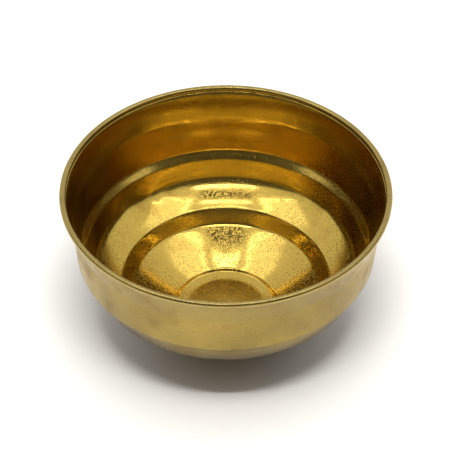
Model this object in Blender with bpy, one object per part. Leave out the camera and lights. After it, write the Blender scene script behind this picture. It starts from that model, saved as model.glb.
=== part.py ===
"""A small spun brass offering bowl that stands on a soldered foot ring.

The bowl is turned about the Z axis and stands on z = 0. It is made of a spun sheet
shell, a round wire soldered on the edge of its flared lip, a low turned foot ring, and the
solder fillet that holds the foot ring on. Outlines are pairs of radius and depth,
where depth is measured down from the rim.
"""

import math

import bmesh
import bpy
from mathutils import Vector

# Driving dimensions, in metres.
RIM_RADIUS = 0.0384
HEIGHT = 0.0385
SHEET = 0.0008
GAP = 0.0003
SEGMENTS = 64

# The lip flares from a near-vertical wall, up to the rim wire. Here and below, a curve is
# given by its outer edge, the corner that it rounds, and its inner edge.
LIP = ((0.03665, 0.00145), (0.0361, 0.0025), (0.0349, 0.0078))
WALL_BELLY = (0.0347, 0.0110)

# The stepped floor, from the wall to the middle.
LEDGE = ((0.0341, 0.0172), (0.0326, 0.0189))
BAND = ((0.0326, 0.0189), (0.0319, 0.0210), (0.0310, 0.0230))
BROW = ((0.0310, 0.0230), (0.0305, 0.02385), (0.0297, 0.0244))
UPPER_TIER = ((0.0297, 0.0244), (0.0272, 0.02625), (0.02435, 0.0274))
LOWER_TIER = ((0.0221, 0.0307), (0.0170, 0.03405), (0.0119, 0.0360))
WELL = ((0.0115, 0.0365), (0.0095, 0.0369))

# The rim wire, the foot ring and its solder.
WIRE_RADIUS = 0.00075
WIRE_SIDES = 12
FOOT_RADIUS = 0.0143
FOOT_WIDTH = 0.0012
FOOT_CHAMFER = 0.0002
SOLDER_SIZE = 0.0009


def brass(name, colour, roughness):
    """A Principled brass."""
    material = bpy.data.materials.new(name)
    material.use_nodes = True
    shader = material.node_tree.nodes["Principled BSDF"]
    shader.inputs["Base Color"].default_value = (*colour, 1.0)
    shader.inputs["Metallic"].default_value = 1.0
    shader.inputs["Roughness"].default_value = roughness
    return material


def outward(along):
    """The direction square to a downhill stretch of the outline, out of the bowl."""
    return Vector((along.y, -along.x)).normalized()


def curved(start, corner, end, steps):
    """Points after start, up to end, on the curve that rounds a corner."""
    start, corner, end = Vector(start), Vector(corner), Vector(end)
    shares = [step / steps for step in range(1, steps + 1)]
    return [start.lerp(corner, s).lerp(corner.lerp(end, s), s) for s in shares]


def inside_of_bowl():
    """The inside of the sheet, from the lip's edge to the axis."""
    points = [Vector(LIP[0])] + curved(*LIP, 4)
    points += [Vector(WALL_BELLY), Vector(LEDGE[0]), Vector(LEDGE[1])]
    points += curved(*BAND, 2)
    points += curved(*BROW, 3)
    points += curved(*UPPER_TIER, 4)
    points.append(Vector(LOWER_TIER[0]))
    points += curved(*LOWER_TIER, 5)
    points += [Vector(WELL[0]), Vector(WELL[1]), Vector((0.0, WELL[1][1]))]
    return points


def outside_of_bowl(inside):
    """The inside moved outward, square to itself, by the sheet's thickness."""
    downhill = [(end - start).normalized() for start, end in zip(inside, inside[1:])]
    before = [downhill[0]] + downhill
    after = downhill + [downhill[-1]]
    moved = []
    for point, first, second in zip(inside, before, after):
        along = (first + second).normalized()
        moved.append(point + outward(along) * SHEET / along.dot(first))
    return moved


def depth_under(outline, radius):
    """How deep an outline lies at a radius."""
    for start, end in zip(outline, outline[1:]):
        if end.x <= radius <= start.x:
            share = (start.x - radius) / (start.x - end.x)
            return start.y + share * (end.y - start.y)
    raise ValueError("the outline doesn't reach this radius")


def turned(name, outline, material, closed=True):
    """A solid turned about Z from an outline; an open outline starts and ends on Z."""
    mesh = bmesh.new()
    corners = [mesh.verts.new((radius, 0.0, HEIGHT - depth)) for radius, depth in outline]
    following = corners[1:] + corners[:1] if closed else corners[1:]
    edges = [mesh.edges.new(ends) for ends in zip(corners, following)]
    bmesh.ops.spin(
        mesh,
        geom=corners + edges,
        axis=(0.0, 0.0, 1.0),
        cent=(0.0, 0.0, 0.0),
        angle=2.0 * math.pi,
        steps=SEGMENTS,
        use_merge=True,
    )
    bmesh.ops.remove_doubles(mesh, verts=mesh.verts, dist=1e-6)
    bmesh.ops.recalc_face_normals(mesh, faces=mesh.faces)
    data = bpy.data.meshes.new(name)
    mesh.to_mesh(data)
    mesh.free()
    data.shade_smooth()
    data.set_sharp_from_angle(angle=math.radians(35.0))
    data.materials.append(material)
    piece = bpy.data.objects.new(name, data)
    bpy.context.collection.objects.link(piece)


def bowl_shell(inside, outside):
    """The spun sheet, from the axis under its base, round its lip and back to the axis."""
    outline = [tuple(point) for point in outside[::-1] + inside]
    brass_sheet = brass("bowl_brass", (0.62, 0.45, 0.16), 0.22)
    turned("bowl_shell", outline, brass_sheet, closed=False)


def rim_wire():
    """A round wire on the lip's edge, which makes the rim's top and outside."""
    centre = Vector((RIM_RADIUS - WIRE_RADIUS, WIRE_RADIUS))
    turns = [2.0 * math.pi * side / WIRE_SIDES for side in range(WIRE_SIDES)]
    outline = [
        centre + Vector((math.cos(turn), math.sin(turn))) * WIRE_RADIUS for turn in turns
    ]
    turned("rim_wire", outline, brass("rim_brass", (0.60, 0.45, 0.18), 0.28))


def foot_ring(outside):
    """A low ring under the lower tier, with a flat, chamfered underside."""
    inner_radius = FOOT_RADIUS - FOOT_WIDTH
    outline = [
        (FOOT_RADIUS, depth_under(outside, FOOT_RADIUS) + GAP),
        (FOOT_RADIUS, HEIGHT - FOOT_CHAMFER),
        (FOOT_RADIUS - FOOT_CHAMFER, HEIGHT),
        (inner_radius + FOOT_CHAMFER, HEIGHT),
        (inner_radius, HEIGHT - FOOT_CHAMFER),
        (inner_radius, depth_under(outside, inner_radius) + GAP),
    ]
    turned("foot_ring", outline, brass("foot_brass", (0.58, 0.42, 0.15), 0.30))


def foot_solder(outside):
    """The fillet of solder in the corner between the foot ring and the shell."""
    near = FOOT_RADIUS + GAP
    far = near + SOLDER_SIZE
    outline = [
        (near, depth_under(outside, near) + GAP),
        (far, depth_under(outside, far) + GAP),
        (near, depth_under(outside, near) + GAP + SOLDER_SIZE),
    ]
    turned("foot_solder", outline, brass("solder_alloy", (0.55, 0.47, 0.30), 0.40))


def main():
    for leftover in list(bpy.data.objects):
        bpy.data.objects.remove(leftover, do_unlink=True)
    inside = inside_of_bowl()
    outside = outside_of_bowl(inside)
    bowl_shell(inside, outside)
    rim_wire()
    foot_ring(outside)
    foot_solder(outside)


main()
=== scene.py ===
"""The looks of a small spun brass offering bowl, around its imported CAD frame.

The bowl is turned about Z and stands on z = 0. Outlines are pairs of radius and depth
in metres, where depth is measured down from the rim.
"""
import math

import bmesh
import bpy
import numpy as np
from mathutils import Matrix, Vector, noise


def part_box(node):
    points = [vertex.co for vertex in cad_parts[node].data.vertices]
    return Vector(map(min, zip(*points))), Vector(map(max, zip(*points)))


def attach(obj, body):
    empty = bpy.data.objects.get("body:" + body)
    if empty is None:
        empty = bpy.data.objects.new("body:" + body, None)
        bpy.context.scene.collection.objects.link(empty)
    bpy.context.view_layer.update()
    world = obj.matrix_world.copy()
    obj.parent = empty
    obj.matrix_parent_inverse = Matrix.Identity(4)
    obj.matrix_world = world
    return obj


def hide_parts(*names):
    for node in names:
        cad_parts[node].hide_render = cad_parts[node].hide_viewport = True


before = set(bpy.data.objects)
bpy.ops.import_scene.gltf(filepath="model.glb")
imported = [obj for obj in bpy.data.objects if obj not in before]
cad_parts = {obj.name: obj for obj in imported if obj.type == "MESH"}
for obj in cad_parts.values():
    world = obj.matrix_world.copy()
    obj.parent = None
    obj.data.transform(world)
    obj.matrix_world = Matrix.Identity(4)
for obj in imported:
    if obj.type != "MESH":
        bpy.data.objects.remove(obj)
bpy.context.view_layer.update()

# Sizes that the CAD frame gives, as the lowest and highest corners of boxes.
WIRE_LOW, WIRE_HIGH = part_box("rim_wire")
FOOT_LOW, FOOT_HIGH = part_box("foot_ring")
HEIGHT = WIRE_HIGH.z

# The sheet. Its lip flares from a near-vertical wall, up to the rim wire.
SHEET = 0.0008
LIP = ((0.0369, 0.0011), (0.0363, 0.0022), (0.0349, 0.0078))
WALL_BELLY = (0.0347, 0.0110)

# The stepped floor, from the wall to the middle. Each band or tier is a curve given by
# its outer edge, the corner that it rounds, and its inner edge.
LEDGE = ((0.0341, 0.0172), (0.0326, 0.0189))
BAND = ((0.0326, 0.0189), (0.0319, 0.0210), (0.0310, 0.0230))
BROW = ((0.0310, 0.0230), (0.0305, 0.02385), (0.0297, 0.0244))
UPPER_TIER = ((0.0297, 0.0244), (0.0272, 0.02625), (0.02435, 0.0274))
LOWER_TIER = ((0.0221, 0.0307), (0.0170, 0.0338), (0.0119, 0.0360))
WELL = ((0.0115, 0.0365), (0.0095, 0.0369))
WELL_DISH = 0.00025

# The rim wire's section, and the foot ring's.
WIRE_SIDES = 24
FOOT_WIDTH = 0.0012
FOOT_CHAMFER = 0.0002
FOOT_INNER_RISE = 0.0003
FOOT_CLEARANCE = 0.00001
FOOT_SOFTNESS = 0.00008

# How finely the turned pieces are made.
AROUND = 256
DENSE_STEP = 0.00005
LONGEST_STEP = 0.0006
TURN_PER_STEP = math.radians(5.0)
EDGE_SOFTNESS = 0.00016


def outward(along):
    """The direction square to a downhill stretch of the outline, out of the bowl."""
    return Vector((along.y, -along.x)).normalized()


def curved(start, corner, end, steps):
    """Points after start, up to end, on the curve that rounds a corner."""
    start, corner, end = Vector(start), Vector(corner), Vector(end)
    shares = [step / steps for step in range(1, steps + 1)]
    return [start.lerp(corner, s).lerp(corner.lerp(end, s), s) for s in shares]


def inside_of_bowl():
    """The inside of the sheet, from the lip's edge to the axis."""
    points = [Vector(LIP[0])] + curved(*LIP, 8)
    points += [Vector(WALL_BELLY), Vector(LEDGE[0]), Vector(LEDGE[1])]
    points += curved(*BAND, 4)
    points += curved(*BROW, 4)
    points += curved(*UPPER_TIER, 6)
    points.append(Vector(LOWER_TIER[0]))
    points += curved(*LOWER_TIER, 10)
    points += [Vector(WELL[0]), Vector(WELL[1]), Vector((0.0, WELL[1][1] + WELL_DISH))]
    return points


def outside_of_bowl(inside):
    """The inside moved outward, square to itself, by the sheet's thickness."""
    downhill = [(end - start).normalized() for start, end in zip(inside, inside[1:])]
    before = [downhill[0]] + downhill
    after = downhill + [downhill[-1]]
    moved = []
    for point, first, second in zip(inside, before, after):
        along = (first + second).normalized()
        moved.append(point + outward(along) * SHEET / along.dot(first))
    return moved


def softened(outline, softness, closed):
    """The outline with every corner rounded, with points only as close as its bends need."""
    points = np.array([tuple(point) for point in outline])
    if closed:
        points = np.vstack([points, points[:1]])
    lengths = np.hypot(*np.diff(points, axis=0).T)
    along = np.concatenate([[0.0], np.cumsum(lengths)])
    count = int(along[-1] / DENSE_STEP)
    places = np.linspace(0.0, along[-1], count)
    dense = np.column_stack([np.interp(places, along, points[:, k]) for k in (0, 1)])
    reach = int(3.0 * softness / DENSE_STEP)
    weights = np.exp(-0.5 * (np.arange(-reach, reach + 1) * DENSE_STEP / softness) ** 2)
    weights /= weights.sum()
    if closed:
        padded = np.vstack([dense[-reach - 1:-1], dense, dense[1:reach + 1]])
    else:
        padded = np.vstack([
            2.0 * dense[0] - dense[reach:0:-1], dense, 2.0 * dense[-1] - dense[-2:-reach - 2:-1],
        ])
    smooth = np.column_stack([np.convolve(padded[:, k], weights, "valid") for k in (0, 1)])
    if closed:
        smooth = smooth[:-1]
    kept = [0]
    headings = np.unwrap(np.arctan2(*np.diff(smooth, axis=0).T[::-1]))
    for index in range(1, len(smooth) - 1):
        far = (index - kept[-1]) * DENSE_STEP >= LONGEST_STEP
        bent = abs(headings[index] - headings[kept[-1]]) >= TURN_PER_STEP
        if far or bent:
            kept.append(index)
    kept.append(len(smooth) - 1)
    return smooth[kept]


def turned(name, outline, closed, relief=None):
    """A solid turned about Z; relief moves each point square to the surface.

    An open outline starts and ends on Z, and a closed one joins up with itself.
    """
    radius, depth = outline.T
    steps = np.roll(outline, -1, axis=0) - np.roll(outline, 1, axis=0)
    if not closed:
        steps[0], steps[-1] = (1.0, 0.0), (-1.0, 0.0)
    steps /= np.hypot(*steps.T)[:, None]
    across, down = steps[:, 1], -steps[:, 0]
    angles = 2.0 * math.pi * np.arange(AROUND) / AROUND
    grid_r = np.repeat(radius[None, :], AROUND, axis=0)
    grid_z = np.repeat(HEIGHT - depth[None, :], AROUND, axis=0)
    cosines, sines = np.cos(angles)[:, None], np.sin(angles)[:, None]
    places = np.stack([grid_r * cosines, grid_r * sines, grid_z], axis=-1)
    if relief is not None:
        normals = np.stack([
            -across[None, :] * cosines,
            -across[None, :] * sines,
            np.repeat(down[None, :], AROUND, axis=0),
        ], axis=-1)
        flat = places.reshape(-1, 3)
        heights = np.array([relief(Vector(place)) for place in flat]).reshape(AROUND, -1, 1)
        places = places + normals * heights
    count = len(outline)
    vertices = places.reshape(-1, 3)
    rows = np.arange(AROUND)[:, None] * count
    following = (np.arange(AROUND)[:, None] + 1) % AROUND * count
    columns = np.arange(count if closed else count - 1)[None, :]
    beside = (columns + 1) % count
    faces = np.stack([rows + columns, following + columns, following + beside, rows + beside], -1)
    data = bpy.data.meshes.new(name)
    data.from_pydata(vertices.tolist(), [], faces.reshape(-1, 4).tolist())
    piece = bpy.data.objects.new(name, data)
    bpy.context.collection.objects.link(piece)
    mesh = bmesh.new()
    mesh.from_mesh(data)
    bmesh.ops.remove_doubles(mesh, verts=mesh.verts, dist=1e-7)
    bmesh.ops.recalc_face_normals(mesh, faces=mesh.faces)
    mesh.to_mesh(data)
    mesh.free()
    data.shade_smooth()
    return piece


def hand_polish(place):
    """The waviness that spinning and years of polishing leave, in metres."""
    slow = noise.noise(place * 90.0) * 0.00003
    quick = noise.noise(place * 420.0 + Vector((7.0, 3.0, 1.0))) * 0.000005
    turn = math.atan2(place.y, place.x)
    rub = Vector((math.cos(turn) * 26.0, math.sin(turn) * 26.0, place.z * 60.0))
    upright = noise.noise(rub) * 0.00003 * min(1.0, max(0.0, place.z / 0.02 - 0.9))
    return slow + quick + upright + sum(dent(place) for dent in DENTS)


def dent_at(turn, radius, depth, size, height):
    """A soft knock in the sheet, as a function that gives its height at a place."""
    angle = math.radians(turn)
    centre = Vector((radius * math.cos(angle), radius * math.sin(angle), HEIGHT - depth))
    return lambda place: height * math.exp(-((place - centre).length / size) ** 2)


# Turn about Z in degrees, then radius, depth, size and height, in metres.
DENTS = [
    dent_at(77.0, 0.0221, 0.0307, 0.0007, 0.00004),
    dent_at(79.0, 0.0290, 0.0254, 0.0006, 0.00004),
    dent_at(128.0, 0.0296, 0.0248, 0.0022, -0.00020),
    dent_at(139.0, 0.0300, 0.0244, 0.0026, 0.00022),
    dent_at(118.0, 0.0294, 0.0248, 0.0018, -0.00010),
    dent_at(38.0, 0.0297, 0.0247, 0.0022, 0.00016),
    dent_at(52.0, 0.0210, 0.0314, 0.0015, 0.00006),
]


def brass_material(name, colour, roughness, turning, pits, grime_and_shade=0.0):
    """Brass with turning lines, pits, freckles and tarnish, all placed in the object.

    turning and pits are how far the turning lines and the pits move the surface, in
    metres. grime is how much soiling lies in blotches and how much painted shade lies low
    down; brass without grime gets painted shade in the middle of its floor instead.
    """
    material = bpy.data.materials.new(name)
    material.use_nodes = True
    nodes, links = material.node_tree.nodes, material.node_tree.links
    shader = nodes["Principled BSDF"]
    shader.inputs["Metallic"].default_value = 1.0
    coords = nodes.new("ShaderNodeTexCoord")
    split = nodes.new("ShaderNodeSeparateXYZ")
    links.new(coords.outputs["Object"], split.inputs[0])

    def math_node(operation, first, second=None):
        node = nodes.new("ShaderNodeMath")
        node.operation = operation
        for socket, value in zip(node.inputs, (first, second)):
            if value is None:
                continue
            if isinstance(value, (int, float)):
                socket.default_value = value
            else:
                links.new(value, socket)
        return node.outputs[0]

    def ramp(value, low, high, out_low, out_high):
        node = nodes.new("ShaderNodeMapRange")
        links.new(value, node.inputs["Value"])
        node.inputs["From Min"].default_value = low
        node.inputs["From Max"].default_value = high
        node.inputs["To Min"].default_value = out_low
        node.inputs["To Max"].default_value = out_high
        return node.outputs["Result"]

    def noise_of(vector, scale, detail):
        node = nodes.new("ShaderNodeTexNoise")
        links.new(vector, node.inputs["Vector"])
        node.inputs["Scale"].default_value = scale
        node.inputs["Detail"].default_value = detail
        return node.outputs["Fac"]

    squares = math_node("ADD", math_node("MULTIPLY", split.outputs["X"], split.outputs["X"]),
                        math_node("MULTIPLY", split.outputs["Y"], split.outputs["Y"]))
    radius = math_node("SQRT", squares)
    rings = nodes.new("ShaderNodeCombineXYZ")
    links.new(radius, rings.inputs["X"])
    links.new(split.outputs["Z"], rings.inputs["Y"])
    ring_lines = noise_of(rings.outputs[0], 3600.0, 4.0)
    tarnish = noise_of(coords.outputs["Object"], 160.0, 6.0)
    speckle = noise_of(coords.outputs["Object"], 5200.0, 2.0)
    pitting = ramp(noise_of(coords.outputs["Object"], 2800.0, 2.0), 0.55, 0.72, 0.0, 1.0)

    colours = nodes.new("ShaderNodeMix")
    colours.data_type = "RGBA"
    freckles = math_node("MULTIPLY", pitting, 0.7)
    links.new(math_node("MAXIMUM", ramp(tarnish, 0.52, 0.72, 0.0, 0.6), freckles), colours.inputs["Factor"])
    colours.inputs["A"].default_value = (*colour, 1.0)
    colours.inputs["B"].default_value = (colour[0] * 0.62, colour[1] * 0.52, colour[2] * 0.5, 1.0)
    # One dark colour for the soiling blotches and for the painted shade.
    dirt_and_shade = nodes.new("ShaderNodeMix")
    dirt_and_shade.data_type = "RGBA"
    blotches = ramp(noise_of(coords.outputs["Object"], 70.0, 5.0), 0.4, 0.75, 0.0, grime_and_shade)
    # Painted shade: the outside darkens towards the bottom, in place of the shadowed table that it
    # reflects.
    painted_low_shade = ramp(split.outputs["Z"], 0.0205, 0.0155, 0.0, grime_and_shade * 1.3)
    # Painted shade: the middle of the floor is darkened, broken up by the pits, on brass without grime.
    centre = ramp(radius, 0.0094, 0.0086, 0.0, 0.5 if grime_and_shade == 0.0 else 0.0)
    painted_centre_shade = math_node("MULTIPLY", centre, ramp(pitting, 0.0, 1.0, 0.7, 1.3))
    dirt_and_painted_shade = math_node("ADD", math_node("ADD", blotches, painted_low_shade), painted_centre_shade)
    links.new(dirt_and_painted_shade, dirt_and_shade.inputs["Factor"])
    links.new(colours.outputs["Result"], dirt_and_shade.inputs["A"])
    # The colour of the soiling and of the painted shade.
    dirt_and_shade.inputs["B"].default_value = (0.13, 0.09, 0.035, 1.0)
    links.new(dirt_and_shade.outputs["Result"], shader.inputs["Base Color"])
    links.new(ramp(tarnish, 0.3, 0.8, roughness * 0.8, roughness * 1.5), shader.inputs["Roughness"])

    bump_fine = nodes.new("ShaderNodeBump")
    bump_fine.inputs["Strength"].default_value = 1.0
    bump_fine.inputs["Distance"].default_value = turning
    links.new(ring_lines, bump_fine.inputs["Height"])
    bump_pits = nodes.new("ShaderNodeBump")
    bump_pits.inputs["Distance"].default_value = pits
    grain = math_node("ADD", math_node("MULTIPLY", speckle, 0.15), pitting)
    links.new(grain, bump_pits.inputs["Height"])
    links.new(bump_fine.outputs["Normal"], bump_pits.inputs["Normal"])
    links.new(bump_pits.outputs["Normal"], shader.inputs["Normal"])
    return material


def finished(piece, node, slot, *materials):
    """A piece with its materials, fixed to the root body in the place of its CAD node."""
    for material in materials:
        piece.data.materials.append(material)
    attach(piece, "root")
    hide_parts(node)


def bowl():
    """The spun sheet, polished inside and worn outside."""
    inside = inside_of_bowl()
    outside = outside_of_bowl(inside)
    loop = softened(outside[::-1] + inside, EDGE_SOFTNESS, closed=False)
    loop[0, 0] = loop[-1, 0] = 0.0
    piece = turned("spun_bowl", loop, closed=False, relief=hand_polish)
    # The inside is polished brass with painted shade in the middle of its floor.
    polished = brass_material("polished_inside", (0.62, 0.43, 0.09), 0.11, 0.000005, 0.000018)
    # The outside is worn brass with soiling blotches and painted shade low down.
    worn = brass_material("worn_outside", (0.39, 0.285, 0.075), 0.34, 0.000004, 0.00001, 0.5)
    finished(piece, "bowl_shell", "bowl_brass", polished, worn)
    for face in piece.data.polygons:
        normal, middle = face.normal, face.center
        faces_out = normal.x * middle.x + normal.y * middle.y > 0.0
        faces_down = normal.z < -0.02
        face.material_index = 1 if faces_out or faces_down else 0


def rim():
    """The round wire on the lip's edge."""
    half = (WIRE_HIGH.z - WIRE_LOW.z) / 2.0
    centre = Vector((WIRE_HIGH.x - half, HEIGHT - (WIRE_LOW.z + WIRE_HIGH.z) / 2.0))
    turns = [2.0 * math.pi * side / WIRE_SIDES for side in range(WIRE_SIDES)]
    outline = np.array([
        tuple(centre + Vector((math.cos(turn), -math.sin(turn))) * half) for turn in turns
    ])
    piece = turned("lip_wire", outline, closed=True)
    worn = brass_material("worn_wire", (0.43, 0.32, 0.10), 0.26, 0.0000005, 0.000003)
    finished(piece, "rim_wire", "rim_brass", worn)


def foot():
    """The foot ring with softened corners."""
    outer = FOOT_HIGH.x
    inner = outer - FOOT_WIDTH
    top = HEIGHT - FOOT_HIGH.z
    bottom = HEIGHT - FOOT_CLEARANCE
    corners = [
        (outer, top),
        (outer, HEIGHT - FOOT_CHAMFER),
        (outer - FOOT_CHAMFER, bottom),
        (inner + FOOT_CHAMFER, bottom),
        (inner, HEIGHT - FOOT_CHAMFER),
        (inner, top + FOOT_INNER_RISE),
    ]
    piece = turned("turned_foot", softened(corners, FOOT_SOFTNESS, closed=True), closed=True)
    worn = brass_material("worn_foot", (0.42, 0.30, 0.09), 0.32, 0.0000012, 0.000004)
    finished(piece, "foot_ring", "foot_brass", worn)


def solder():
    """The solder keeps its CAD shape and gets a dull finish."""
    dull = brass_material("dull_solder", (0.36, 0.30, 0.17), 0.45, 0.0000002, 0.00001)
    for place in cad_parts["foot_solder"].material_slots:
        place.material = dull


def floor():
    """A plain white table, just under the foot."""
    data = bpy.data.meshes.new("table")
    half = 3.0
    corners = [(-half, -half, 0), (half, -half, 0), (half, half, 0), (-half, half, 0)]
    data.from_pydata(corners, [], [(0, 1, 2, 3)])
    table = bpy.data.objects.new("table", data)
    bpy.context.collection.objects.link(table)
    material = bpy.data.materials.new("table_white")
    material.use_nodes = True
    shader = material.node_tree.nodes["Principled BSDF"]
    shader.inputs["Base Color"].default_value = (0.87, 0.85, 0.82, 1.0)
    shader.inputs["Roughness"].default_value = 0.6
    data.materials.append(material)
    table.location.z = -0.00002


def camera():
    """The camera, far off and in front, looking down into the bowl."""
    elevation = math.radians(41.5)
    distance = 0.646
    rim_centre = Vector((0.0, 0.0, HEIGHT - 0.0007))
    place = rim_centre + distance * Vector((0.0, -math.cos(elevation), math.sin(elevation)))
    aim = rim_centre + Vector((-0.0002, 0.0, -0.0103))
    data = bpy.data.cameras.new("camera")
    data.lens = 224.4
    data.sensor_width = 36.0
    view = bpy.data.objects.new("camera", data)
    view.location = place
    view.rotation_euler = (aim - place).to_track_quat("-Z", "Y").to_euler()
    bpy.context.collection.objects.link(view)
    bpy.context.scene.camera = view


def panel(name, low, high, height, radiance, lights_table):
    """A flat soft light that faces down; it lights the table or shows in the brass."""
    data = bpy.data.lights.new(name, "AREA")
    data.shape = "RECTANGLE"
    data.size = high[0] - low[0]
    data.size_y = high[1] - low[1]
    data.energy = radiance * math.pi * data.size * data.size_y
    lamp = bpy.data.objects.new(name, data)
    lamp.location = ((low[0] + high[0]) / 2.0, (low[1] + high[1]) / 2.0, height)
    lamp.visible_diffuse = lights_table
    lamp.visible_glossy = not lights_table
    bpy.context.collection.objects.link(lamp)


def lights():
    """Overhead soft boxes that the brass reflects, and washes that light the table."""
    height = 0.9
    near, far, front, rear, edge = 0.24, 0.60, -0.10, 0.30, 0.025
    for side, name in ((-1.0, "left"), (1.0, "right")):
        spans = {
            "box": ((near, front), (far, rear), 0.95),
            "inner_edge": ((near, front), (near + edge, 0.10), 5.0),
            "front_edge": ((near, front), (far, front + edge), 5.0),
        }
        for part, (low, high, radiance) in spans.items():
            x = sorted((side * low[0], side * high[0]))
            down = height if part == "box" else height - 0.01
            panel(f"{name}_{part}", (x[0], low[1]), (x[1], high[1]), down, radiance, False)
    panel("front_strip", (-0.27, -0.37), (0.27, -0.295), height, 8.0, False)
    panel("slit", (-0.15, -0.05), (0.15, -0.01), height, 7.0, False)
    panel("wash_front", (-0.17, -0.345), (0.17, -0.325), height, 170.0, True)
    panel("wash_middle", (-0.25, -0.32), (0.25, -0.16), height, 12.5, True)
    panel("wash_rear", (-0.36, -0.16), (0.36, 0.36), height, 2.5, True)


def sky():
    """A white room, dark on the camera's side, low down, and in a patch overhead."""
    world = bpy.data.worlds.new("studio")
    bpy.context.scene.world = world
    world.use_nodes = True
    nodes, links = world.node_tree.nodes, world.node_tree.links
    back = nodes["Background"]
    coords = nodes.new("ShaderNodeTexCoord")
    split = nodes.new("ShaderNodeSeparateXYZ")
    links.new(coords.outputs["Generated"], split.inputs[0])

    def ramp(value, low, high):
        node = nodes.new("ShaderNodeMapRange")
        node.interpolation_type = "SMOOTHSTEP"
        links.new(value, node.inputs["Value"])
        node.inputs["From Min"].default_value = low
        node.inputs["From Max"].default_value = high
        return node.outputs["Result"]

    def combine(operation, first, second):
        node = nodes.new("ShaderNodeMath")
        node.operation = operation
        links.new(first, node.inputs[0])
        links.new(second, node.inputs[1])
        return node.outputs[0]

    forward = ramp(split.outputs["Y"], -0.36, -0.46)
    below_top = ramp(split.outputs["Z"], 0.97, 0.93)
    near_horizon = ramp(split.outputs["Z"], 0.50, 0.40)
    low = combine("MULTIPLY", near_horizon, ramp(split.outputs["Y"], 0.5, 0.3))
    dark = combine("MAXIMUM", combine("MULTIPLY", forward, below_top), low)
    aside = nodes.new("ShaderNodeMath")
    aside.operation = "ABSOLUTE"
    links.new(split.outputs["X"], aside.inputs[0])
    behind = ramp(split.outputs["Y"], -0.30, -0.27)
    overhead = combine("MULTIPLY", behind, ramp(split.outputs["Y"], -0.04, -0.20))
    overhead = combine("MULTIPLY", overhead, ramp(aside.outputs[0], 0.24, 0.16))
    overhead = combine("MULTIPLY", overhead, ramp(split.outputs["Z"], 0.8, 0.9))
    dark = combine("MAXIMUM", dark, overhead)
    mix = nodes.new("ShaderNodeMix")
    mix.data_type = "RGBA"
    links.new(dark, mix.inputs["Factor"])
    mix.inputs["A"].default_value = (1.0, 1.0, 1.0, 1.0)
    mix.inputs["B"].default_value = (0.125, 0.118, 0.10, 1.0)
    links.new(mix.outputs["Result"], back.inputs["Color"])
    back.inputs["Strength"].default_value = 0.85


bowl()
rim()
foot()
solder()
floor()
camera()
sky()
lights()
bpy.context.scene.view_settings.view_transform = "Standard"
